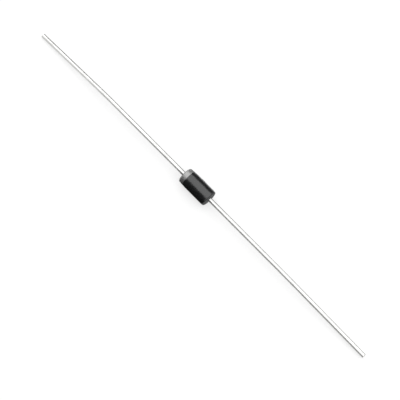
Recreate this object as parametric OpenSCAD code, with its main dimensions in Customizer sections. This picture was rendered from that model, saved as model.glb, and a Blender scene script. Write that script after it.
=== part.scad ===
// Axial rectifier diode: a silicon die soldered between two nail-headed leads and
// moulded into a black epoxy cylinder, with a silver band at the cathode end.
// Millimetres. +X runs along the leads from cathode to anode and +Z is up. The part lies
// on the plane z = 0 as it comes to rest: on its body, whose middle is over the origin,
// and on the tip of the cathode lead.

/* [Body] */
// Diameter of the moulded barrel
body_d = 2.5; // [2.2:0.05:3.6]
// Length of the moulded body
body_l = 5; // [4.2:0.1:8]
// Length over which the barrel narrows to its cathode end
cathode_taper_l = 1.3; // [0.8:0.1:1.8]
// How much the radius narrows at the cathode end
cathode_taper = 0.09; // [0.01:0.01:0.2]
// Length over which the barrel narrows to its anode end
anode_taper_l = 0.6; // [0.4:0.1:1.8]
// How much the radius narrows at the anode end
anode_taper = 0.02; // [0.01:0.01:0.2]
// Radius of the edge round each end face
edge_r = 0.22; // [0.08:0.01:0.3]
// Slope of each end face, in degrees, that lets it leave the mould
end_slope = 5; // [1:0.5:10]

/* [Mould marks] */
// Height that the seam of the two mould halves stands proud
seam_h = 0.02; // [0.01:0.005:0.05]
// Thickness of the seam
seam_t = 0.06; // [0.03:0.01:0.1]
// Length of the stub left where the gate was broken off
gate_l = 0.7; // [0.4:0.1:1.2]
// Thickness of the gate stub
gate_t = 0.2; // [0.1:0.05:0.4]
// Height that the gate stub stands proud
gate_h = 0.05; // [0.03:0.01:0.1]

/* [Cathode band] */
// Width of the printed band
band_w = 0.8; // [0.4:0.05:1.2]
// Distance from the end of the body to the near edge of the band
band_inset = 0.07; // [0.05:0.01:0.2]
// Thickness of the ink
ink_t = 0.015; // [0.01:0.005:0.04]

/* [Leads] */
// Diameter of the lead wire
lead_d = 0.64; // [0.5:0.01:0.8]
// Length of each lead outside the body
lead_l = 29; // [25:0.5:40]
// Slope of the sheared tip, in degrees
shear_slope = 12; // [0:1:25]
// Diameter of the nail head
head_d = 1.4; // [1.2:0.05:1.6]
// Thickness of the nail head
head_t = 0.3; // [0.2:0.05:0.4]
// Length of the cone that joins the head to the wire
neck_l = 0.25; // [0.1:0.05:0.4]

/* [Handling bends] */
// Length of the cathode lead that stays in line with the body; its tip rests on z = 0
cathode_straight_l = 13.5; // [5:0.5:18]
// How far its bend brings the tip of the cathode lead to the -Y side
cathode_tip_aside = 0.14; // [-0.6:0.02:0.6]
// Length of the anode lead that stays in line with the body
anode_straight_l = 13; // [5:0.5:18]
// How far its bend brings the tip of the anode lead down
anode_tip_drop = 0.78; // [0.1:0.02:0.86]
// How far its bend brings the tip of the anode lead to the -Y side
anode_tip_aside = 0; // [-0.6:0.02:0.6]
// Length of the curve of each bend
bend_l = 4; // [2:0.5:6]

/* [Junction] */
// Width of the square silicon die
die_w = 0.96; // [0.8:0.02:1]
// Thickness of the die
die_t = 0.25; // [0.2:0.01:0.35]
// Depth of the bevel etched round the junction face of the die
mesa_h = 0.09; // [0.04:0.01:0.12]
// Thickness of each solder layer
solder_t = 0.06; // [0.03:0.01:0.08]
// Diameter of the cathode solder where it meets the base of the die
base_solder_d = 0.9; // [0.7:0.02:0.96]
// Diameter of the anode solder where it meets the junction face
face_solder_d = 0.74; // [0.5:0.02:0.76]
// How much wider the solder spreads on the nail head
solder_spread = 0.16; // [0.06:0.02:0.2]
// Diameter of the silicone coating round the junction
coating_d = 1.75; // [1.65:0.05:1.8]
// Radius of the swollen rim of the coating
coating_rim_r = 0.3; // [0.28:0.01:0.34]

/* [Hidden] */
$fn = 72;

// A cut runs this far past what it cuts.
past = 1;
// The edge circles stand this little proud, so that each meets its neighbours squarely.
edge_lap = 0.0003;
// A bend is this much fatter all round than the wire, which runs this far into it.
bend_swell = 0.002;
bend_lap = 0.3;

body_r = body_d / 2;
lead_r = lead_d / 2;
head_r = head_d / 2;
axis_h = body_r;
head_gap = die_t + 2 * solder_t;
junction_top = die_t / 2;
rim_r = head_t / 2;
cathode_tip_drop = axis_h - lead_r / cos(shear_slope);

// Outward directions, as [radius, height], of the stretches of the body's outline.
barrel_way = [1, 0];
cathode_side_lean = atan(cathode_taper / cathode_taper_l);
cathode_side_way = [cos(cathode_side_lean), -sin(cathode_side_lean)];
cathode_end_way = [sin(end_slope), -cos(end_slope)];
anode_side_lean = atan(anode_taper / anode_taper_l);
anode_side_way = [cos(anode_side_lean), sin(anode_side_lean)];
anode_end_way = [sin(end_slope), cos(end_slope)];

// The point that lies a distance out from two stretches that meet at a corner.
function mitred(corner, way_a, way_b, out) =
    corner + out * (way_a + way_b) / (1 + way_a * way_b);

// Corners of the outline, as [radius, height], before the end edges are rounded.
cathode_shoulder = [body_r, cathode_taper_l - body_l / 2];
anode_shoulder = [body_r, body_l / 2 - anode_taper_l];
cathode_corner = [
    body_r - cathode_taper, (body_r - cathode_taper) * tan(end_slope) - body_l / 2
];
anode_corner = [
    body_r - anode_taper, body_l / 2 - (body_r - anode_taper) * tan(end_slope)
];
cathode_edge = mitred(cathode_corner, cathode_side_way, cathode_end_way, -edge_r);
anode_edge = mitred(anode_corner, anode_side_way, anode_end_way, -edge_r);

// Turns a shape that stands on the z axis to lie along the leads, cathode end first.
module along_leads() {
    translate([0, 0, axis_h]) rotate([0, 90, 0]) children();
}

// Turns a shape to face the cathode end instead.
module cathode_side() {
    mirror([1, 0, 0]) children();
}

// Half of the body's lengthwise section, grown outwards by a distance.
module body_outline(grow) {
    reach = edge_r + grow;
    polygon([
        [0, -body_l / 2 - grow / cos(end_slope)],
        cathode_edge + reach * cathode_end_way,
        cathode_edge + reach * cathode_side_way,
        mitred(cathode_shoulder, cathode_side_way, barrel_way, grow),
        mitred(anode_shoulder, anode_side_way, barrel_way, grow),
        anode_edge + reach * anode_side_way,
        anode_edge + reach * anode_end_way,
        [0, body_l / 2 + grow / cos(end_slope)]
    ]);
    translate(cathode_edge) circle(reach + edge_lap);
    translate(anode_edge) circle(reach + edge_lap);
}

// The moulded form with the thin seam where the mould halves met, grown by a distance.
module moulded_form(grow) {
    along_leads() {
        rotate_extrude() body_outline(grow);
        rotate([90, 0, 90]) linear_extrude(seam_t + 2 * grow, center = true) {
            body_outline(seam_h + grow);
            mirror([1, 0, 0]) body_outline(seam_h + grow);
        }
    }
}

// The rough stub on the seam at the far side of the body.
module gate_stub() {
    translate([-gate_l / 2, 0, axis_h - gate_t / 2]) cube([gate_l, body_r + gate_h, gate_t]);
}

// The nail head, its neck and the wire that stays in line with the body, made standing.
module headed_wire(straight_l) {
    wire_end = (body_l - head_gap) / 2 + straight_l + bend_lap;
    rotate_extrude() {
        polygon([
            [0, 0],
            [head_r - rim_r, 0],
            [head_r - rim_r, head_t],
            [lead_r, head_t + neck_l],
            [lead_r, wire_end],
            [0, wire_end]
        ]);
        translate([head_r - rim_r, rim_r]) circle(rim_r);
    }
}

// The bend and the straight stretch past it, made in the XY plane and bending towards -Y
// until the tip lies this far off the wire's line.
module bend_and_tip(straight_l, tip_offset) {
    tip_l = lead_l - straight_l - bend_l;
    bend_angle = tip_offset / (tip_l + bend_l / 2) * 180 / PI;
    bend_r = bend_l / (bend_angle * PI / 180);
    translate([body_l / 2 + straight_l, -bend_r, 0]) {
        rotate_extrude(angle = bend_angle, start = 90 - bend_angle)
            translate([bend_r, 0]) circle(lead_r + bend_swell);
        rotate([0, 0, -bend_angle]) translate([0, bend_r, 0]) sheared_wire(tip_l);
    }
}

// A straight wire whose tip is cut off on a slope.
module sheared_wire(l) {
    difference() {
        translate([-bend_lap, 0, 0]) rotate([0, 90, 0])
            cylinder(r = lead_r, h = l + bend_lap + past);
        translate([l, 0, 0]) rotate([0, 0, shear_slope])
            translate([0, -past, -past]) cube(2 * past + lead_d);
    }
}

// One whole lead on the anode side, with its head against the solder. Its bend brings the
// tip down and towards -Y by these distances.
module lead(straight_l, tip_drop, tip_aside) {
    translate([head_gap / 2, 0, 0]) along_leads() headed_wire(straight_l);
    translate([0, 0, axis_h]) rotate([atan2(tip_drop, tip_aside), 0, 0])
        bend_and_tip(straight_l, norm([tip_drop, tip_aside]));
}

// The heads and straight wires of both leads, which the body and coating close round.
module both_cores() {
    translate([head_gap / 2, 0, 0]) along_leads() headed_wire(anode_straight_l);
    cathode_side() translate([head_gap / 2, 0, 0]) along_leads() headed_wire(cathode_straight_l);
}

// The coating's outer form: a disc between the heads with a swollen rim that wraps them.
module coating_form() {
    rim_centre = coating_d / 2 - coating_rim_r;
    along_leads() rotate_extrude() {
        translate([0, -head_gap / 2]) square([rim_centre, head_gap]);
        translate([rim_centre, 0]) circle(coating_rim_r);
    }
}

module epoxy_body() {
    color([0.06, 0.06, 0.065]) difference() {
        union() {
            moulded_form(0);
            gate_stub();
        }
        both_cores();
        coating_form();
    }
}

module cathode_band() {
    color([0.66, 0.66, 0.65]) difference() {
        intersection() {
            moulded_form(ink_t);
            translate([band_inset - body_l / 2, -body_d, -body_d])
                cube([band_w, 2 * body_d, 3 * body_d]);
        }
        moulded_form(0);
    }
}

module cathode_lead() {
    color([0.86, 0.86, 0.85]) cathode_side()
        lead(cathode_straight_l, cathode_tip_drop, cathode_tip_aside);
}

module anode_lead() {
    color([0.86, 0.86, 0.85]) lead(anode_straight_l, anode_tip_drop, anode_tip_aside);
}

// A square die whose junction face, towards the anode, has its four edges bevelled.
module silicon_die() {
    color([0.35, 0.36, 0.4]) translate([0, 0, axis_h]) difference() {
        cube([die_t, die_w, die_w], center = true);
        for (side = [0:90:270])
            rotate([side, 0, 0]) translate([junction_top - mesa_h, 0, die_w / 2])
                rotate([0, 45, 0]) translate([0, -past, 0]) cube([past, 2 * past, past]);
    }
}

// A solder cone, wide on the nail head and narrow on the die, on the anode side.
module solder_layer(die_side_d) {
    translate([die_t / 2, 0, 0]) along_leads()
        cylinder(h = solder_t, d1 = die_side_d, d2 = die_side_d + solder_spread);
}

module cathode_solder() {
    color([0.7, 0.7, 0.68]) cathode_side() solder_layer(base_solder_d);
}

module anode_solder() {
    color([0.7, 0.7, 0.68]) solder_layer(face_solder_d);
}

module junction_coating() {
    color([0.93, 0.93, 0.9]) difference() {
        coating_form();
        both_cores();
        silicon_die();
        solder_layer(face_solder_d);
        cathode_side() solder_layer(base_solder_d);
    }
}

epoxy_body();
cathode_band();
cathode_lead();
anode_lead();
silicon_die();
cathode_solder();
anode_solder();
junction_coating();
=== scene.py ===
"""Axial rectifier diode: a black moulded cylinder with a silver cathode band and two tinned leads.

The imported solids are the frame. This script gives each visible solid a finer mesh with the
marks that making and handling leave, and dresses every piece in a node-based finish.
Lengths are in metres, +X runs along the leads from cathode to anode, and +Z is up.
"""

import logging
import math
from collections.abc import Callable, Sequence
from dataclasses import dataclass, field
from enum import Enum

import bmesh
import bpy
import numpy as np
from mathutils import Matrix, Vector, noise


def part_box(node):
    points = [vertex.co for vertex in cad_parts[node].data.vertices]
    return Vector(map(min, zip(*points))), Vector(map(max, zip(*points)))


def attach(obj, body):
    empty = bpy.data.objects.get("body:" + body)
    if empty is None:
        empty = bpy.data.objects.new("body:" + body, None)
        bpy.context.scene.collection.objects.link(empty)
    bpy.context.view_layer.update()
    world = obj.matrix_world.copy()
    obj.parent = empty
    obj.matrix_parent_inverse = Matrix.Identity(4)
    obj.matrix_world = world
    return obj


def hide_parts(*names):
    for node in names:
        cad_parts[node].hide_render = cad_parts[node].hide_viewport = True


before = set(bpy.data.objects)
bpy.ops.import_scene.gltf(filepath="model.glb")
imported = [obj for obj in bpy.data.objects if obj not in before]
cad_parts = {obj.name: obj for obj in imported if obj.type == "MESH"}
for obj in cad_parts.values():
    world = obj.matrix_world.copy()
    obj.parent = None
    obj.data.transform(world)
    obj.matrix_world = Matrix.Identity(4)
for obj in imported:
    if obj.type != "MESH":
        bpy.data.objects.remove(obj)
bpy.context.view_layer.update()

MM = 0.001
ROOT = "root"
log = logging.getLogger("diode")

Socket = bpy.types.NodeSocket
Node = bpy.types.Node
Material = bpy.types.Material
Object = bpy.types.Object
Colour = tuple[float, float, float]


# --------------------------------------------------------------------- shader language


class Value:
    """A number that flows through a node tree, written with the usual operators."""

    def __init__(self, shader: "Shader", socket: Socket) -> None:
        """Wraps a socket.

        Args:
            shader: The shader that the socket belongs to.
            socket: The output that carries the number.
        """
        self.shader = shader
        self.socket = socket

    def maths(self, operation: str, *others: "Value | float") -> "Value":
        """Runs this number through a Math node.

        Args:
            operation: The Math node's operation.
            others: The further numbers that the operation takes.

        Returns:
            The result.
        """
        inputs = dict(enumerate((self, *others)))
        return self.shader.add("ShaderNodeMath", {"operation": operation}, inputs).value()

    def flipped(self, operation: str, other: "Value | float") -> "Value":
        """Runs a Math node with this number as its second input.

        Args:
            operation: The Math node's operation.
            other: The number that comes first.

        Returns:
            The result.
        """
        inputs = {0: other, 1: self}
        return self.shader.add("ShaderNodeMath", {"operation": operation}, inputs).value()

    def __add__(self, other: "Value | float") -> "Value":
        """Adds."""
        return self.maths("ADD", other)

    def __radd__(self, other: float) -> "Value":
        """Adds to a plain number."""
        return self.maths("ADD", other)

    def __sub__(self, other: "Value | float") -> "Value":
        """Subtracts."""
        return self.maths("SUBTRACT", other)

    def __rsub__(self, other: float) -> "Value":
        """Subtracts from a plain number."""
        return self.flipped("SUBTRACT", other)

    def __mul__(self, other: "Value | float") -> "Value":
        """Multiplies."""
        return self.maths("MULTIPLY", other)

    def __rmul__(self, other: float) -> "Value":
        """Multiplies a plain number."""
        return self.maths("MULTIPLY", other)

    def larger(self, other: "Value | float") -> "Value":
        """Takes the larger of two numbers."""
        return self.maths("MAXIMUM", other)

    def spread(self, low: float, high: float, to_low: float, to_high: float) -> "Value":
        """Maps a range of this number onto another range, clamped at both ends.

        Args:
            low: Where the range starts.
            high: Where the range ends.
            to_low: What the start becomes.
            to_high: What the end becomes.

        Returns:
            The mapped number.
        """
        inputs = {0: self, 1: low, 2: high, 3: to_low, 4: to_high}
        return self.shader.add("ShaderNodeMapRange", {"clamp": True}, inputs).value()


class Made:
    """A node that has been made, with its outputs by name."""

    def __init__(self, shader: "Shader", node: Node) -> None:
        """Keeps the node and its shader.

        Args:
            shader: The shader that the node belongs to.
            node: The node.
        """
        self.shader = shader
        self.node = node

    def out(self, name: str | int = 0) -> Socket:
        """Gives the output of that name or place."""
        return self.node.outputs[name]

    def value(self, name: str | int = 0) -> Value:
        """Gives the output of that name or place as a number for expressions."""
        return Value(self.shader, self.node.outputs[name])


class Shader:
    """A node tree under construction."""

    def __init__(self, tree: bpy.types.NodeTree) -> None:
        """Starts with an empty tree.

        Args:
            tree: The tree to fill. Whatever it holds is removed.
        """
        self.tree = tree
        tree.nodes.clear()

    def add(
        self,
        kind: str,
        settings: dict[str, object] | None = None,
        inputs: dict[str | int, object] | None = None,
    ) -> Made:
        """Makes a node.

        Args:
            kind: The node's type.
            settings: Its settings, which are set first.
            inputs: What goes into its sockets: a value, an output, a Value or a Made.

        Returns:
            The node.
        """
        node = self.tree.nodes.new(kind)
        for name, setting in (settings or {}).items():
            setattr(node, name, setting)
        for name, given in (inputs or {}).items():
            self.feed(node.inputs[name], given)
        return Made(self, node)

    def feed(self, socket: Socket, given: object) -> None:
        """Links an output to a socket, or sets the socket's own value.

        Args:
            socket: The input.
            given: A plain value, an output, a Value or a Made.
        """
        if isinstance(given, Value):
            given = given.socket
        if isinstance(given, Made):
            given = given.out()
        if isinstance(given, Socket):
            self.tree.links.new(given, socket)
        else:
            socket.default_value = given

    def place_mm(self, stretch: Colour = (1.0, 1.0, 1.0)) -> Made:
        """Gives the place on the object in millimetres.

        Args:
            stretch: A further scale along each axis.

        Returns:
            The node whose output is the scaled place.
        """
        place = self.add("ShaderNodeTexCoord")
        scale = tuple(s / MM for s in stretch)
        return self.add(
            "ShaderNodeVectorMath",
            {"operation": "MULTIPLY"},
            {0: place.out("Object"), 1: scale},
        )

    def noise(self, place: Made, per_mm: float, detail: float = 3.0, rough: float = 0.5) -> Value:
        """Cloudy noise between 0 and 1.

        Args:
            place: The place in millimetres.
            per_mm: How many clouds lie on a millimetre.
            detail: How many finer layers it has.
            rough: How strong the finer layers are.

        Returns:
            The noise.
        """
        inputs = {"Vector": place, "Scale": per_mm, "Detail": detail, "Roughness": rough}
        return self.add("ShaderNodeTexNoise", {"noise_dimensions": "3D"}, inputs).value(0)

    def cells(self, place: Made, per_mm: float) -> Made:
        """Voronoi cells, with the distance to the nearest one's middle.

        Args:
            place: The place in millimetres.
            per_mm: How many cells lie on a millimetre.

        Returns:
            The node.
        """
        inputs = {"Vector": place, "Scale": per_mm}
        return self.add("ShaderNodeTexVoronoi", {"feature": "F1"}, inputs)

    def mix(self, share: Value | float, first: object, second: object) -> Socket:
        """Mixes two colours.

        Args:
            share: How much of the second shows.
            first: The first colour.
            second: The second colour.

        Returns:
            The mixed colour's output.
        """
        node = self.add("ShaderNodeMix", {"data_type": "RGBA"})
        self.feed(node.node.inputs["Factor"], share)
        for name, colour in (("A", first), ("B", second)):
            socket = next(
                s for s in node.node.inputs if s.name == name and s.type == "RGBA"
            )
            self.feed(socket, (*colour, 1.0) if isinstance(colour, tuple) else colour)
        return next(s for s in node.node.outputs if s.type == "RGBA")

    def bump(self, layers: Sequence[tuple[Value, float]]) -> Socket:
        """Stacks heights into one normal.

        Args:
            layers: Each height between 0 and 1, with its full depth in metres.

        Returns:
            The normal.
        """
        normal: Socket | None = None
        for height, depth in layers:
            inputs: dict[str | int, object] = {"Strength": 1.0, "Distance": depth, "Height": height}
            if normal is not None:
                inputs["Normal"] = normal
            normal = self.add("ShaderNodeBump", {}, inputs).out("Normal")
        assert normal is not None
        return normal

    def surface(self, inputs: dict[str | int, object]) -> None:
        """Ends the tree in a Principled surface.

        Args:
            inputs: What goes into the surface's sockets.
        """
        principled = self.add("ShaderNodeBsdfPrincipled", {}, inputs)
        output = self.add("ShaderNodeOutputMaterial")
        self.tree.links.new(principled.out(), output.node.inputs["Surface"])


def new_shader(name: str) -> tuple[Material, Shader]:
    """Makes an empty node material.

    Args:
        name: The material's name.

    Returns:
        The material and its shader.
    """
    material = bpy.data.materials.new(name)
    material.use_nodes = True
    return material, Shader(material.node_tree)


# ---------------------------------------------------------------------------- finishes


@dataclass(frozen=True)
class EpoxyFinish:
    """Black silica-filled moulding compound, with the slight gloss that the mould gives it."""

    dark: Colour = (0.0085, 0.0088, 0.0092)
    pale: Colour = (0.016, 0.0162, 0.0165)
    smooth: float = 0.22
    rough: float = 0.36
    end_matt: float = 0.3
    ior: float = 1.54

    def material(self) -> Material:
        """Builds the material.

        Returns:
            The material.
        """
        material, shader = new_shader("moulded_epoxy")
        place = shader.place_mm()
        clouds = shader.noise(place, 1.3, 4.0, 0.6)
        grain = shader.noise(place, 22.0, 4.0, 0.65)
        filler = shader.cells(place, 30.0).value("Distance")
        rubs = shader.noise(shader.place_mm((0.5, 9.0, 9.0)), 1.6, 3.0, 0.7)
        rubbed = rubs.spread(0.6, 0.78, 0.0, 1.0)
        silica = filler.spread(0.0, 0.16, 1.0, 0.0)
        shade = (clouds * 0.55 + grain * 0.45).spread(0.35, 0.7, 0.0, 1.0)
        colour = shader.mix(shade, self.dark, self.pale)
        colour = shader.mix(rubbed * 0.35, colour, (0.03, 0.03, 0.031))
        colour = shader.mix(silica * 0.25, colour, (0.05, 0.05, 0.05))
        roughness = (clouds * 0.7 + grain * 0.3).spread(0.34, 0.68, self.smooth, self.rough)
        normal = shader.bump(
            (
                (clouds, 0.012 * MM),
                (grain, 0.0022 * MM),
                (rubbed, 0.0012 * MM),
            )
        )
        facing = shader.add("ShaderNodeTexCoord")
        split = shader.add("ShaderNodeSeparateXYZ", {}, {0: facing.out("Normal")})
        end_face = split.value("X").maths("ABSOLUTE").spread(0.55, 0.95, 0.0, 1.0)
        shader.surface(
            {
                "Base Color": colour,
                "Roughness": roughness + rubbed * 0.1 + end_face * self.end_matt,
                "IOR": self.ior,
                "Normal": normal,
            }
        )
        return material


@dataclass(frozen=True)
class BandInkFinish:
    """Silver-grey ink with fine metal flakes, a little worn on its high spots."""

    flake: Colour = (0.36, 0.36, 0.357)
    binder: Colour = (0.2, 0.2, 0.198)
    smooth: float = 0.46
    rough: float = 0.6

    def material(self) -> Material:
        """Builds the material.

        Returns:
            The material.
        """
        material, shader = new_shader("band_ink")
        place = shader.place_mm()
        clouds = shader.noise(place, 2.4, 3.0, 0.6)
        flakes = shader.cells(place, 34.0)
        tone = flakes.value("Color")
        thin = shader.noise(place, 7.0, 4.0, 0.7).spread(0.62, 0.8, 0.0, 1.0)
        shade = (tone * 0.6 + clouds * 0.4).spread(0.25, 0.75, 0.0, 1.0)
        colour = shader.mix(shade, self.binder, self.flake)
        colour = shader.mix(thin * 0.35, colour, (0.09, 0.09, 0.09))
        normal = shader.bump(((tone, 0.0024 * MM), (clouds, 0.006 * MM)))
        shader.surface(
            {
                "Base Color": colour,
                "Metallic": 0.85 - thin * 0.3,
                "Roughness": (tone * 0.5 + clouds * 0.5).spread(0.3, 0.7, self.smooth, self.rough),
                "Normal": normal,
            }
        )
        return material


@dataclass(frozen=True)
class TinFinish:
    """Dull tin plating over drawn wire, with draw lines, dull patches and handling marks."""

    bright: Colour = (0.60, 0.60, 0.59)
    dull: Colour = (0.49, 0.49, 0.48)
    smooth: float = 0.34
    rough: float = 0.5

    def material(self) -> Material:
        """Builds the material.

        Returns:
            The material.
        """
        material, shader = new_shader("tinned_wire")
        place = shader.place_mm()
        draw = shader.noise(shader.place_mm((0.35, 26.0, 26.0)), 1.0, 3.0, 0.6)
        patches = shader.noise(place, 0.9, 4.0, 0.62)
        grain = shader.noise(place, 18.0, 3.0, 0.6)
        nicks = shader.cells(shader.place_mm((0.8, 2.2, 2.2)), 1.1).value("Distance")
        nicked = nicks.spread(0.0, 0.12, 1.0, 0.0)
        dulled = patches.spread(0.42, 0.66, 0.0, 1.0)
        colour = shader.mix(dulled * 0.8 + draw * 0.2, self.bright, self.dull)
        colour = shader.mix(nicked * 0.5, colour, (0.42, 0.41, 0.39))
        roughness = (dulled * 0.7 + draw * 0.3).spread(0.0, 1.0, self.smooth, self.rough)
        normal = shader.bump(
            (
                (patches, 0.010 * MM),
                (draw, 0.0022 * MM),
                (grain, 0.0012 * MM),
                (1.0 - nicked, 0.0035 * MM),
            )
        )
        shader.surface(
            {
                "Base Color": colour,
                "Metallic": 1.0,
                "Roughness": roughness,
                "Normal": normal,
            }
        )
        return material


@dataclass(frozen=True)
class ShearedFaceFinish:
    """The face that the cutter leaves across a lead: a smeared rim round a dull torn core."""

    core: Colour = (0.30, 0.25, 0.215)
    smear: Colour = (0.58, 0.57, 0.55)

    def material(self) -> Material:
        """Builds the material.

        Returns:
            The material.
        """
        material, shader = new_shader("sheared_face")
        place = shader.place_mm()
        torn = shader.noise(place, 11.0, 5.0, 0.7)
        drag = shader.noise(shader.place_mm((2.0, 18.0, 1.2)), 1.0, 3.0, 0.6)
        smeared = (torn * 0.4 + drag * 0.6).spread(0.45, 0.65, 0.0, 1.0)
        shader.surface(
            {
                "Base Color": shader.mix(smeared, self.core, self.smear),
                "Metallic": 0.9,
                "Roughness": torn.spread(0.3, 0.7, 0.38, 0.62),
                "Normal": shader.bump(((torn, 0.012 * MM), (drag, 0.005 * MM))),
            }
        )
        return material


@dataclass(frozen=True)
class InnerFinish:
    """A finish of a sealed inner piece: a cloudy colour with its own grain."""

    name: str
    dark: Colour
    pale: Colour
    metallic: float
    smooth: float
    rough: float
    grain_per_mm: float
    grain_depth: float

    def material(self) -> Material:
        """Builds the material.

        Returns:
            The material.
        """
        material, shader = new_shader(self.name)
        place = shader.place_mm()
        clouds = shader.noise(place, 3.0, 3.0, 0.55)
        grain = shader.noise(place, self.grain_per_mm, 4.0, 0.6)
        shade = (clouds * 0.6 + grain * 0.4).spread(0.32, 0.68, 0.0, 1.0)
        shader.surface(
            {
                "Base Color": shader.mix(shade, self.dark, self.pale),
                "Metallic": self.metallic,
                "Roughness": grain.spread(0.3, 0.7, self.smooth, self.rough),
                "Normal": shader.bump(((grain, self.grain_depth),)),
            }
        )
        return material


SILICON = InnerFinish(
    "etched_silicon", (0.07, 0.075, 0.09), (0.15, 0.155, 0.17), 0.6, 0.16, 0.34, 24.0, 0.0015 * MM
)
SOLDER = InnerFinish(
    "reflowed_solder", (0.42, 0.42, 0.40), (0.62, 0.62, 0.60), 1.0, 0.24, 0.42, 16.0, 0.004 * MM
)
SILICONE = InnerFinish(
    "junction_silicone", (0.72, 0.72, 0.69), (0.88, 0.88, 0.85), 0.0, 0.3, 0.45, 6.0, 0.006 * MM
)


# ------------------------------------------------------------------------------ meshes


class Side(Enum):
    """The two ends of the part, as the direction along X."""

    CATHODE = -1
    ANODE = 1


@dataclass(frozen=True)
class OutlinePoint:
    """A point of a turned form's half section, with its outward direction."""

    x: float
    r: float
    out_x: float
    out_r: float


def arc(
    centre: tuple[float, float], radius: float, start: float, end: float, steps: int
) -> list[OutlinePoint]:
    """Points along an arc of a half section.

    Args:
        centre: The arc's centre, as (x, r).
        radius: The arc's radius.
        start: Angle of the first outward direction, in degrees from +X towards +r.
        end: Angle of the last outward direction.
        steps: How many spans the arc has.

    Returns:
        The points, from start to end.
    """
    made = []
    for angle in np.radians(np.linspace(start, end, steps + 1)):
        way = (math.cos(angle), math.sin(angle))
        made.append(
            OutlinePoint(centre[0] + radius * way[0], centre[1] + radius * way[1], *way)
        )
    return made


def run(first: tuple[float, float], last: tuple[float, float], steps: int) -> list[OutlinePoint]:
    """Points along a straight stretch of a half section that runs towards the anode outside.

    Args:
        first: Where it starts, as (x, r).
        last: Where it ends.
        steps: How many spans it has.

    Returns:
        The points, without the two ends.
    """
    dx, dr = last[0] - first[0], last[1] - first[1]
    length = math.hypot(dx, dr)
    way = (-dr / length, dx / length)
    shares = np.linspace(0, 1, steps + 1)[1:-1]
    return [OutlinePoint(first[0] + s * dx, first[1] + s * dr, *way) for s in shares]


def outline_at(stretch: Sequence[OutlinePoint], x: float) -> OutlinePoint:
    """Finds the point of an outline at a place along the leads.

    Args:
        stretch: The outline's points, in order of x.
        x: The place.

    Returns:
        The point, between its two neighbours.
    """
    columns = zip(*((p.r, p.out_x, p.out_r) for p in stretch))
    xs = [p.x for p in stretch]
    return OutlinePoint(x, *(float(np.interp(x, xs, column)) for column in columns))


def rough_at(place: Vector, per_mm: float) -> float:
    """Smooth noise between -1 and 1 at a place, with this many swells on a millimetre."""
    return noise.noise(place * (per_mm / MM))


def smooth_step(low: float, high: float, x: float) -> float:
    """Rises smoothly from 0 at low to 1 at high."""
    t = min(1.0, max(0.0, (x - low) / (high - low)))
    return t * t * (3 - 2 * t)


def mesh_object(
    name: str,
    vertices: Sequence[Sequence[float]],
    faces: Sequence[Sequence[int]],
    materials: Sequence[Material],
    sharp_degrees: float = 40.0,
) -> Object:
    """Makes an object from a list of faces, shaded smooth apart from sharp edges.

    Args:
        name: The piece's name.
        vertices: The corners.
        faces: Each face's corners.
        materials: Its materials.
        sharp_degrees: The angle between faces above which an edge stays sharp.

    Returns:
        The object, linked to the scene.
    """
    mesh = bpy.data.meshes.new(name)
    mesh.from_pydata([tuple(v) for v in vertices], [], [tuple(f) for f in faces])
    work = bmesh.new()
    work.from_mesh(mesh)
    bmesh.ops.recalc_face_normals(work, faces=work.faces)
    for face in work.faces:
        face.smooth = True
    for edge in work.edges:
        if len(edge.link_faces) == 2 and edge.calc_face_angle(0.0) > math.radians(sharp_degrees):
            edge.smooth = False
    work.to_mesh(mesh)
    work.free()
    for material in materials:
        mesh.materials.append(material)
    piece = bpy.data.objects.new(name, mesh)
    bpy.context.scene.collection.objects.link(piece)
    return piece


def ring_faces(rings: int, around: int, closed: bool) -> list[tuple[int, int, int, int]]:
    """Faces of a grid of rings whose corners are numbered ring by ring.

    Args:
        rings: How many rings there are.
        around: How many corners a ring has.
        closed: Whether the last ring joins the first.

    Returns:
        The faces.
    """
    made = []
    for i in range(rings if closed else rings - 1):
        j = (i + 1) % rings
        for k in range(around):
            m = (k + 1) % around
            made.append((i * around + k, i * around + m, j * around + m, j * around + k))
    return made


# ------------------------------------------------------------------------- the mouldings


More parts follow.
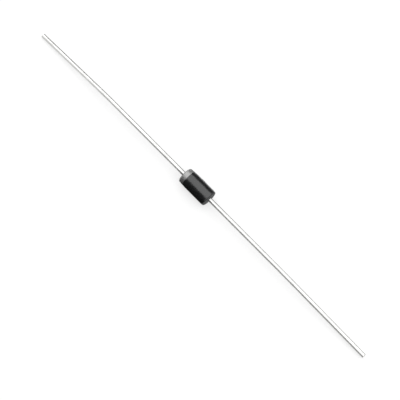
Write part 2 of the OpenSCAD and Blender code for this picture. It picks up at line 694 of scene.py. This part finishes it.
@dataclass
class MouldedBody:
    """The moulded cylinder, its printed band, and the cavity that holds the junction."""

    barrel_r: float = 1.25 * MM
    length: float = 5.0 * MM
    cathode_taper_l: float = 1.3 * MM
    cathode_taper: float = 0.09 * MM
    anode_taper_l: float = 0.6 * MM
    anode_taper: float = 0.02 * MM
    edge_r: float = 0.22 * MM
    end_slope: float = math.radians(5)
    seam_h: float = 0.018 * MM
    seam_half_w: float = 0.03 * MM
    gate_l: float = 0.7 * MM
    gate_w: float = 0.2 * MM
    gate_h: float = 0.045 * MM
    band_inset: float = 0.07 * MM
    band_w: float = 0.8 * MM
    ink_t: float = 0.014 * MM
    lead_r: float = 0.32 * MM
    exit_ring_w: float = 0.07 * MM
    exit_ring_depth: float = 0.04 * MM
    head_r: float = 0.7 * MM
    head_t: float = 0.3 * MM
    neck_l: float = 0.25 * MM
    head_gap: float = 0.37 * MM
    coating_r: float = 0.875 * MM
    coating_rim_r: float = 0.3 * MM
    seam_zone: float = 0.16
    swell_h: float = 0.0018 * MM
    shrink: float = 0.0052 * MM
    far_wander: float = 0.02 * MM
    near_wander: float = 0.008 * MM
    thinnest_ink: float = 0.001 * MM
    ink_root: float = 0.004 * MM
    axis_h: float = field(init=False)

    def __post_init__(self) -> None:
        """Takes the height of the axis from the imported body."""
        low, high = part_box("epoxy_body")
        self.axis_h = (low.z + high.z) / 2

    def edge(self, side: Side) -> tuple[tuple[float, float], float, float]:
        """Works out the rounded edge between the barrel and an end face.

        Args:
            side: Which end.

        Returns:
            The edge's centre, as (x, r) with x counted outwards from the middle, and the
            angles of its end face and of its barrel side from the outward direction.
        """
        taper, taper_l = {
            Side.CATHODE: (self.cathode_taper, self.cathode_taper_l),
            Side.ANODE: (self.anode_taper, self.anode_taper_l),
        }[side]
        r = self.barrel_r - taper
        corner = np.array([self.length / 2 - r * math.tan(self.end_slope), r])
        face_way = np.array([math.cos(self.end_slope), math.sin(self.end_slope)])
        lean = math.atan(taper / taper_l)
        side_way = np.array([math.sin(lean), math.cos(lean)])
        centre = corner - self.edge_r * (face_way + side_way) / (1 + face_way @ side_way)
        middle = (float(centre[0]), float(centre[1]))
        return middle, math.degrees(self.end_slope), 90 - math.degrees(lean)

    def outline(self) -> list[OutlinePoint]:
        """Gives the outside half section from the cathode lead's exit to the anode lead's.

        Returns:
            The points of the half section.
        """
        (cx, cr), c_face, c_side = self.edge(Side.CATHODE)
        (ax, ar), a_face, a_side = self.edge(Side.ANODE)
        cathode_edge = arc((-cx, cr), self.edge_r, 180 - c_face, 180 - c_side, 12)
        anode_edge = arc((ax, ar), self.edge_r, a_side, a_face, 12)
        exit_x = self.length / 2 - self.lead_r * math.tan(self.end_slope)
        c_start, a_end = (-exit_x, self.lead_r), (exit_x, self.lead_r)
        c_shoulder = (self.cathode_taper_l - self.length / 2, self.barrel_r)
        a_shoulder = (self.length / 2 - self.anode_taper_l, self.barrel_r)
        first, last = cathode_edge[0], anode_edge[-1]
        up, down = cathode_edge[-1], anode_edge[0]
        return [
            OutlinePoint(*c_start, first.out_x, first.out_r),
            *run(c_start, (first.x, first.r), 14),
            *cathode_edge,
            *run((up.x, up.r), c_shoulder, 12),
            OutlinePoint(*c_shoulder, 0.0, 1.0),
            *run(c_shoulder, a_shoulder, 44),
            OutlinePoint(*a_shoulder, 0.0, 1.0),
            *run(a_shoulder, (down.x, down.r), 6),
            *anode_edge,
            *run((last.x, last.r), a_end, 14),
            OutlinePoint(*a_end, last.out_x, last.out_r),
        ]

    def angles(self) -> np.ndarray:
        """Gives the angles round the barrel, closer together at the two seams.

        Returns:
            The angles from +Y towards +Z, in order, over one turn.
        """
        near_seam = np.linspace(-self.seam_zone, self.seam_zone, 33)
        between = np.linspace(self.seam_zone, math.pi - self.seam_zone, 66)[1:-1]
        half = np.concatenate([near_seam, between])
        return np.concatenate([half, half + math.pi])

    def proud(self, x: float, r: float, angle: float) -> float:
        """Gives how far the real surface stands proud of the ideal outline.

        Args:
            x: The place along the leads.
            r: The distance from the axis.
            angle: The angle round the barrel, from +Y towards +Z.

        Returns:
            The height, in metres.
        """
        place = Vector((x, r * math.cos(angle), r * math.sin(angle)))
        across = r * math.sin(angle)
        ragged = 0.75 + 0.25 * rough_at(place, 3.0)
        seam = self.seam_h * ragged * (1 - smooth_step(0.25, 1.0, abs(across) / self.seam_half_w))
        gate = 0.0
        if math.cos(angle) > 0 and r > self.barrel_r * 0.9:
            wander = 0.03 * MM * rough_at(place, 6.0)
            along = 1 - smooth_step(-0.03 * MM, 0.02 * MM, abs(x) - self.gate_l / 2 + wander)
            over = 1 - smooth_step(-0.03 * MM, 0.015 * MM, abs(across) - self.gate_w / 2 + wander)
            torn = 0.72 + 0.28 * rough_at(place, 14.0)
            gate = self.gate_h * along * over * torn
        ring_from = r - self.lead_r
        ring = smooth_step(0.0, 0.2, ring_from / self.exit_ring_w)
        ring *= 1 - smooth_step(0.55, 1.0, ring_from / self.exit_ring_w)
        swell = self.swell_h * rough_at(place, 0.8) - self.shrink
        return max(seam, gate) + swell - self.exit_ring_depth * ring

    def point(self, p: OutlinePoint, angle: float, extra: float) -> tuple[float, float, float]:
        """Places a point of the outline in space.

        Args:
            p: The point of the half section.
            angle: The angle round the barrel, from +Y towards +Z.
            extra: How far out it is moved along its outward direction.

        Returns:
            The place.
        """
        x, r = p.x + extra * p.out_x, p.r + extra * p.out_r
        return x, r * math.cos(angle), self.axis_h + r * math.sin(angle)

    def cavity(self) -> list[tuple[float, float]]:
        """Gives the half section of the cavity, from the anode lead's neck to the cathode's.

        Returns:
            The points, as (x, r).
        """
        half_gap = self.head_gap / 2
        rim_centre = self.coating_r - self.coating_rim_r
        neck_x = half_gap + self.head_t + self.neck_l
        rim_r = self.head_t / 2
        angles = np.linspace(math.pi / 2, 0.0, 7)
        back = [
            (half_gap + rim_r + rim_r * math.cos(a), self.head_r - rim_r + rim_r * math.sin(a))
            for a in angles[2:]
        ]
        swell = [
            (self.coating_rim_r * math.cos(a), rim_centre + self.coating_rim_r * math.sin(a))
            for a in np.linspace(math.radians(26), math.radians(154), 15)
        ]
        one_side = [(neck_x, self.lead_r), *reversed(back)]
        other_side = [(-x, r) for x, r in reversed(one_side)]
        return [*one_side, *swell, *other_side]

    def build(self, finish: Material) -> Object:
        """Builds the body as one closed shell with its cavity.

        Args:
            finish: The body's material.

        Returns:
            The body.
        """
        angles = self.angles()
        rings = []
        for p in self.outline():
            rings.append([self.point(p, a, self.proud(p.x, p.r, a)) for a in angles])
        for x, r in self.cavity():
            rings.append(
                [(x, r * math.cos(a), self.axis_h + r * math.sin(a)) for a in angles]
            )
        vertices = [v for ring in rings for v in ring]
        faces = ring_faces(len(rings), len(angles), closed=True)
        body = mesh_object("epoxy_moulding", vertices, faces, [finish], 50.0)
        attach(body, ROOT)
        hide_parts("epoxy_body")
        return body

    def build_band(self, finish: Material) -> Object:
        """Builds the band as a thin closed film of ink with slightly wandering edges.

        Args:
            finish: The ink's material.

        Returns:
            The band.
        """
        angles = self.angles()
        start_x = self.band_inset - self.length / 2
        outline = self.outline()
        stretch = [p for p in outline if p.out_r > 0.2 and p.x < self.length / 4]
        steps = np.concatenate([[0.0, 0.012], np.linspace(0.03, 0.97, 26), [0.988, 1.0]])
        outer: list[list[tuple[float, float, float]]] = [[] for _ in steps]
        inner: list[list[tuple[float, float, float]]] = [[] for _ in steps]
        for a in angles:
            ring_place = Vector((0.0, self.barrel_r * math.cos(a), self.barrel_r * math.sin(a)))
            far_edge = self.band_w + self.far_wander * rough_at(ring_place, 1.6)
            near_edge = self.near_wander * (1 + rough_at(ring_place, 2.3))
            for i, s in enumerate(steps):
                p = outline_at(stretch, start_x + near_edge + s * (far_edge - near_edge))
                proud = self.proud(p.x, p.r, a)
                place = Vector((p.x, p.r * math.cos(a), p.r * math.sin(a)))
                film = self.ink_t * (0.8 + 0.2 * rough_at(place, 2.0))
                film *= smooth_step(-0.01, 0.03, s) * smooth_step(-0.01, 0.03, 1 - s)
                outer[i].append(self.point(p, a, proud + max(film, self.thinnest_ink)))
                inner[i].append(self.point(p, a, proud - self.ink_root))
        rings = [*outer, *reversed(inner)]
        vertices = [v for ring in rings for v in ring]
        faces = ring_faces(len(rings), len(angles), closed=True)
        band = mesh_object("printed_band", vertices, faces, [finish], 60.0)
        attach(band, ROOT)
        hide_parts("cathode_band")
        return band


# ---------------------------------------------------------------------------- the leads


# Rings of a sheared face: the share of the wire's radius, and how far the rim is rolled back.
CUT_RINGS = (
    (0.965, -0.012 * MM),
    (0.9, -0.002 * MM),
    (0.75, 0.0),
    (0.55, 0.0),
    (0.32, 0.0),
    (0.12, 0.0),
)


@dataclass
class TinnedLead:
    """One drawn, nail-headed and tinned wire, bent a little and sheared off at its tip."""

    node: str
    side: Side
    straight_l: float
    tip_drop: float
    tip_aside: float
    shape_seed: float
    axis_h: float
    body_half_l: float = 2.5 * MM
    wire_r: float = 0.32 * MM
    out_l: float = 29.0 * MM
    bend_l: float = 4.0 * MM
    shear_slope: float = math.radians(12)
    head_r: float = 0.7 * MM
    head_t: float = 0.3 * MM
    neck_l: float = 0.25 * MM
    half_gap: float = 0.185 * MM
    shear_l: float = 2.2 * MM
    ripple_h: float = 0.0022 * MM
    dent_depth: float = 0.012 * MM
    shrink: float = 0.0024 * MM
    ring_gap: float = 0.16 * MM
    around: int = 48

    def profile(self) -> list[tuple[float, float]]:
        """Gives the head's and neck's half section.

        Returns:
            The points, as (distance from the body's middle, radius).
        """
        rim_r = self.head_t / 2
        rim_x, rim_c = self.half_gap + rim_r, self.head_r - rim_r
        rim = [
            (rim_x - rim_r * math.cos(a), rim_c + rim_r * math.sin(a))
            for a in np.linspace(0.0, math.pi, 13)
        ]
        back_x = self.half_gap + self.head_t
        neck = [
            (back_x + s * self.neck_l, self.neck_radius(s)) for s in np.linspace(0.0, 1.0, 7)
        ]
        return [(self.half_gap, rim_c * s) for s in (0.25, 0.6, 0.85)] + rim + neck[:-1]

    def neck_radius(self, share: float) -> float:
        """Gives the neck's radius at a share of its length, straight as a cone."""
        return (self.head_r - self.head_t / 2) * (1 - share) + self.wire_r * share

    def route(self) -> tuple[np.ndarray, np.ndarray]:
        """Gives the wire's centre line beyond the neck.

        Returns:
            The points, and the wire's direction at each.
        """
        tip_l = self.out_l - self.straight_l - self.bend_l
        angle = math.hypot(self.tip_drop, self.tip_aside) / (tip_l + self.bend_l / 2)
        bend_r = self.bend_l / angle
        start = self.half_gap + self.head_t + self.neck_l
        bend_x = self.body_half_l + self.straight_l
        flat = []
        for x in np.linspace(start, bend_x, round((bend_x - start) / self.ring_gap)):
            flat.append((x, 0.0, 0.0))
        for a in np.linspace(0.0, angle, 26)[1:]:
            flat.append((bend_x + bend_r * math.sin(a), bend_r * (1 - math.cos(a)), a))
        end_x, end_d, _ = flat[-1]
        for s in np.linspace(0.0, tip_l, round(tip_l / self.ring_gap))[1:]:
            flat.append((end_x + s * math.cos(angle), end_d + s * math.sin(angle), angle))
        lean = math.atan2(self.tip_drop, self.tip_aside)
        points, ways = [], []
        for x, off, a in flat:
            points.append((self.side.value * x, -off * math.cos(lean), -off * math.sin(lean)))
            along = (math.cos(a), math.sin(a))
            ways.append(
                (
                    self.side.value * along[0],
                    -along[1] * math.cos(lean),
                    -along[1] * math.sin(lean),
                )
            )
        lifted = np.array(points) + np.array([0.0, 0.0, self.axis_h])
        return lifted, np.array(ways)

    def surface_r(self, place: Vector, radius: float) -> float:
        """Gives the wire's real radius at a place, a hair under its ideal one.

        Args:
            place: The place on the ideal surface.
            radius: The ideal radius.

        Returns:
            The radius with the plating's ripple and a few shallow dents.
        """
        seeded = place + Vector((self.shape_seed, 0.0, 0.0))
        ripple = self.ripple_h * rough_at(seeded, 0.9)
        dents = smooth_step(0.42, 0.75, rough_at(seeded, 0.55)) * self.dent_depth
        return radius + ripple - self.shrink - dents

    @staticmethod
    def across(along: Vector) -> tuple[Vector, Vector]:
        """Gives two directions square to the wire, one nearly level and one rising.

        Args:
            along: The wire's direction.

        Returns:
            The level direction and the rising one.
        """
        level = Vector((0.0, 1.0, 0.0))
        level = (level - along * level.dot(along)).normalized()
        rise = Vector((0.0, 0.0, 1.0))
        rise = (rise - along * rise.dot(along) - level * rise.dot(level)).normalized()
        return level, rise

    def tip_shift(self, offset: Vector, drop_way: Vector) -> float:
        """Gives how far past the cut's centre a point of the sheared end lies.

        Args:
            offset: The point's offset from the centre line.
            drop_way: The direction towards which the lead bends.

        Returns:
            The distance along the wire.
        """
        return offset.dot(drop_way) * math.tan(self.shear_slope)

    def build(self, tin: Material, cut: Material) -> Object:
        """Builds the lead as one closed mesh.

        Args:
            tin: The plating's material.
            cut: The sheared face's material.

        Returns:
            The lead.
        """
        turn = np.linspace(0.0, 2 * math.pi, self.around, endpoint=False)
        rings: list[list[Vector]] = []
        for x, r in self.profile():
            rings.append(
                [
                    Vector((self.side.value * x, r * math.cos(t), self.axis_h + r * math.sin(t)))
                    for t in turn
                ]
            )
        points, ways = self.route()
        lean = math.atan2(self.tip_drop, self.tip_aside)
        drop_way = Vector((0.0, -math.cos(lean), -math.sin(lean)))
        shear_back = 3 * self.wire_r * math.tan(self.shear_slope)
        total = np.concatenate([[0.0], np.cumsum(np.linalg.norm(np.diff(points, axis=0), axis=1))])
        shear_from = total[-1] - self.shear_l
        for centre, way, s in zip(points, ways, total):
            along = Vector(way)
            level, rise = self.across(along)
            to_tip = smooth_step(shear_from, total[-1] - shear_back, s)
            ring = []
            for t in turn:
                offset = self.wire_r * (math.cos(t) * level + math.sin(t) * rise)
                place = Vector(centre) + offset
                r = self.surface_r(place, self.wire_r)
                offset *= r / self.wire_r
                shift = to_tip * self.tip_shift(offset, drop_way)
                ring.append(Vector(centre) + offset + along * shift)
            rings.append(ring)
        cap_start = len(rings)
        rings.extend(self.cut_face(Vector(points[-1]), Vector(ways[-1]), drop_way, turn))
        vertices = [v for ring in rings for v in ring]
        faces: list[tuple[int, ...]] = list(ring_faces(len(rings), self.around, closed=False))
        head_centre = len(vertices)
        vertices.append(Vector((self.side.value * self.half_gap, 0.0, self.axis_h)))
        tip_centre = len(vertices)
        last = (len(rings) - 1) * self.around
        vertices.append(sum(rings[-1], Vector()) / self.around)
        for k in range(self.around):
            m = (k + 1) % self.around
            faces.append((head_centre, m, k))
            faces.append((tip_centre, last + k, last + m))
        lead = mesh_object(f"tinned_{self.node}", vertices, faces, [tin, cut], 35.0)
        for polygon in lead.data.polygons:
            if min(polygon.vertices) >= cap_start * self.around:
                polygon.material_index = 1
        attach(lead, ROOT)
        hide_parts(self.node)
        return lead

    def cut_face(
        self, centre: Vector, along: Vector, drop_way: Vector, turn: np.ndarray
    ) -> list[list[Vector]]:
        """Gives the rings of the sheared face, from its rolled edge to near its middle.

        Args:
            centre: The end of the centre line.
            along: The wire's direction there.
            drop_way: The direction towards which the lead bends.
            turn: The angles round the wire.

        Returns:
            The rings, outermost first.
        """
        level, rise = self.across(along)
        rings = []
        for share, back in CUT_RINGS:
            ring = []
            for t in turn:
                offset = share * self.wire_r * (math.cos(t) * level + math.sin(t) * rise)
                torn = 0.006 * MM * rough_at(centre + offset, 9.0) * (share < 0.9)
                step = 0.012 * MM * smooth_step(-0.1, 0.15, offset.dot(drop_way) / self.wire_r)
                step *= share < 0.95
                shift = self.tip_shift(offset, drop_way) + back + torn - step
                ring.append(centre + offset + along * (shift - 0.004 * MM))
            rings.append(ring)
        return rings


# ------------------------------------------------------------------------- the junction


@dataclass
class Junction:
    """The sealed pieces between the heads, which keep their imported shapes."""

    finishes: dict[str, InnerFinish] = field(
        default_factory=lambda: {
            "silicon_die": SILICON,
            "cathode_solder": SOLDER,
            "anode_solder": SOLDER,
            "junction_coating": SILICONE,
        }
    )

    def dress(self) -> None:
        """Gives each sealed piece its finish."""
        made: dict[str, Material] = {}
        for node, finish in self.finishes.items():
            if finish.name not in made:
                made[finish.name] = finish.material()
            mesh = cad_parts[node].data
            mesh.materials.clear()
            mesh.materials.append(made[finish.name])
            log.info("dressed %s as %s", node, finish.name)


# --------------------------------------------------------------------------- the studio


# How far a lying card is above the floor, and the least height of a standing one.
CARD_LIFT_MM = 0.004
CARD_LEAST_MM = 0.01


@dataclass(frozen=True)
class Card:
    """A low card beside or under the part, which only mirrored rays see."""

    name: str
    grey: float
    corners_mm: tuple[tuple[float, float, float], ...]

    @classmethod
    def standing(
        cls, name: str, grey: float, y: float, top: Sequence[tuple[float, float]]
    ) -> "Card":
        """Describes a card that stands along the part.

        Args:
            name: The card's name.
            grey: How pale it is.
            y: How far from the leads' line it stands, in millimetres.
            top: Its upper edge as (x, z), in millimetres.

        Returns:
            The card.
        """
        edge = [(x, y, max(z, CARD_LEAST_MM)) for x, z in top]
        return cls(name, grey, ((edge[0][0], y, 0.0), *edge, (edge[-1][0], y, 0.0)))

    @classmethod
    def lying(
        cls, name: str, grey: float, x: tuple[float, float], y: tuple[float, float]
    ) -> "Card":
        """Describes a card that lies on the floor.

        Args:
            name: The card's name.
            grey: How pale it is.
            x: Its range along the leads, in millimetres.
            y: Its range across them, in millimetres.

        Returns:
            The card.
        """
        z = CARD_LIFT_MM
        return cls(name, grey, ((x[0], y[0], z), (x[1], y[0], z), (x[1], y[1], z), (x[0], y[1], z)))

    def build(self) -> Object:
        """Builds the card.

        Returns:
            The card's object.
        """
        material, shader = new_shader(self.name)
        fibre = shader.noise(shader.place_mm(), 0.3, 3.0, 0.6)
        colour = shader.mix(fibre, (self.grey * 0.9,) * 3, (self.grey * 1.1,) * 3)
        shader.surface({"Base Color": colour, "Roughness": 0.9})
        mesh = bpy.data.meshes.new(self.name)
        corners = [tuple(c * MM for c in corner) for corner in self.corners_mm]
        mesh.from_pydata(corners, [], [tuple(range(len(corners)))])
        mesh.materials.append(material)
        card = bpy.data.objects.new(self.name, mesh)
        card.visible_camera = False
        card.visible_shadow = False
        card.visible_diffuse = False
        bpy.context.scene.collection.objects.link(card)
        return card


CARDS = (
    Card.standing("card_near_body", 0.01, -3.2, ((-3.9, 8.0), (2.6, 6.2))),
    Card.standing("card_near_cathode", 0.4, -3.2, ((-22, 0), (-14, 2.2), (-3.9, 2.6))),
    Card.standing("card_near_anode", 0.32, -3.2, ((2.6, 2.6), (60, 2.6))),
    Card.standing("card_far_tip", 0.02, 6.0, ((-60, 6.0), (-26, 6.0), (-16, 3.4))),
    Card.standing("card_far_cathode", 0.4, 6.0, ((-16, 3.4), (-4.7, 3.0))),
    Card.standing("card_far_body", 0.01, 6.0, ((-4.7, 6.0), (2.7, 6.0))),
    Card.standing("card_far_anode", 0.4, 6.0, ((2.7, 3.0), (12, 2.2), (22, 1.4), (60, 0.8))),
    # This black card lies under the body's near side and paints the floor shadow under the body
    # into mirrored rays only.
    Card.lying("painted_shade_under_body", 0.01, (-3.2, 2.3), (-3.2, 0.2)),
)


@dataclass
class Studio:
    """A pale floor under one broad soft light, with dark and grey cards for mirrored rays."""

    floor_half: float = 1.5
    light_distance: float = 0.4
    light_lean: float = 14.0
    light_half_angle: float = 43.5
    light_length: float = 1.4
    radiance: float = 1.58
    cards: tuple[Card, ...] = CARDS
    floor_grey: float = 0.37
    floor_glow: float = 0.67
    room: float = 0.05

    def build(self) -> None:
        """Builds the floor, the light, the cards and the room."""
        self.floor()
        self.light()
        for card in self.cards:
            card.build()
        self.world()

    def seen_share(self, shader: Shader) -> Value:
        """Gives 1 for rays that show the background: camera, mirrored and clear rays.

        Args:
            shader: The shader that asks.

        Returns:
            The share.
        """
        path = shader.add("ShaderNodeLightPath")
        seen = path.value("Is Camera Ray").larger(path.value("Is Glossy Ray"))
        return seen.larger(path.value("Is Transmission Ray"))

    def floor(self) -> None:
        """Builds the pale floor, whose glow makes it white where nothing shades it."""
        mesh = bpy.data.meshes.new("floor")
        h = self.floor_half
        mesh.from_pydata([(-h, -h, 0), (h, -h, 0), (h, h, 0), (-h, h, 0)], [], [(0, 1, 2, 3)])
        floor = bpy.data.objects.new("floor", mesh)
        bpy.context.scene.collection.objects.link(floor)
        material, shader = new_shader("floor_paper")
        place = shader.place_mm()
        fibre = shader.noise(place, 0.4, 4.0, 0.6)
        grey = self.floor_grey
        colour = shader.mix(fibre, (grey * 0.98,) * 3, (grey * 1.02,) * 3)
        diffuse = shader.add("ShaderNodeBsdfDiffuse", {}, {"Color": colour})
        glow = shader.add(
            "ShaderNodeEmission", {}, {"Strength": self.seen_share(shader) * self.floor_glow}
        )
        both = shader.add("ShaderNodeAddShader", {}, {0: diffuse, 1: glow})
        output = shader.add("ShaderNodeOutputMaterial")
        shader.tree.links.new(both.out(), output.node.inputs["Surface"])
        mesh.materials.append(material)

    def light(self) -> None:
        """Hangs the broad light over the part, leaning towards +Y."""
        data = bpy.data.lights.new("softbox", "AREA")
        data.shape = "RECTANGLE"
        data.size = self.light_length
        data.size_y = 2 * self.light_distance * math.tan(math.radians(self.light_half_angle))
        data.energy = self.radiance * math.pi * data.size * data.size_y
        light = bpy.data.objects.new("softbox", data)
        lean = math.radians(self.light_lean)
        light.location = Vector((0.0, math.sin(lean), math.cos(lean))) * self.light_distance
        light.rotation_euler = (-lean, 0.0, 0.0)
        bpy.context.scene.collection.objects.link(light)

    def world(self) -> None:
        """Makes the room white where it is seen and dim where it only lights."""
        world = bpy.data.worlds.new("room")
        world.use_nodes = True
        shader = Shader(world.node_tree)
        seen = self.seen_share(shader)
        strength = seen * (1.0 - self.room) + self.room
        background = shader.add(
            "ShaderNodeBackground", {}, {"Color": (1.0, 1.0, 1.0, 1.0), "Strength": strength}
        )
        output = shader.add("ShaderNodeOutputWorld")
        shader.tree.links.new(background.out(), output.node.inputs["Surface"])
        bpy.context.scene.world = world


@dataclass
class Viewpoint:
    """The camera that looks down on the part, with its anode end a little nearer."""

    azimuth: float = 46.2
    elevation: float = 74.9
    distance: float = 0.14
    lens: float = 93.3
    aim: tuple[float, float, float] = (0.0016, -0.00099, 0.00125)

    def build(self) -> None:
        """Makes the camera and hands it to the scene."""
        a, e = math.radians(self.azimuth), math.radians(self.elevation)
        back = Vector((math.sin(a) * math.cos(e), -math.cos(a) * math.cos(e), math.sin(e)))
        data = bpy.data.cameras.new("camera")
        data.lens = self.lens
        data.sensor_width = 36.0
        data.clip_start, data.clip_end = 0.001, 10.0
        camera = bpy.data.objects.new("camera", data)
        camera.rotation_mode = "QUATERNION"
        camera.location = Vector(self.aim) + back * self.distance
        camera.rotation_quaternion = (-back).to_track_quat("-Z", "Y")
        bpy.context.scene.collection.objects.link(camera)
        bpy.context.scene.camera = camera


# --------------------------------------------------------------------------------- main


def main() -> None:
    """Builds the part, the studio and the camera."""
    logging.basicConfig(level=logging.INFO, format="%(name)s: %(message)s")
    bpy.context.scene.view_settings.view_transform = "Standard"
    Viewpoint().build()
    Studio().build()
    body = MouldedBody()
    tin, cut = TinFinish().material(), ShearedFaceFinish().material()
    tip_floor = body.axis_h - body.lead_r / math.cos(TinnedLead.shear_slope)
    leads = (
        TinnedLead(
            "cathode_lead",
            Side.CATHODE,
            straight_l=13.5 * MM,
            tip_drop=tip_floor,
            tip_aside=0.14 * MM,
            shape_seed=0.7,
            axis_h=body.axis_h,
        ),
        TinnedLead(
            "anode_lead",
            Side.ANODE,
            straight_l=13.0 * MM,
            tip_drop=0.78 * MM,
            tip_aside=0.0,
            shape_seed=1.9,
            axis_h=body.axis_h,
        ),
    )
    makers: tuple[tuple[Callable[..., Object], tuple[Material, ...]], ...] = (
        (body.build, (EpoxyFinish().material(),)),
        (body.build_band, (BandInkFinish().material(),)),
        *((lead.build, (tin, cut)) for lead in leads),
    )
    for maker, materials in makers:
        piece = maker(*materials)
        log.info("built %s with %d faces", piece.name, len(piece.data.polygons))
    Junction().dress()


if __name__ == "__main__":
    main()
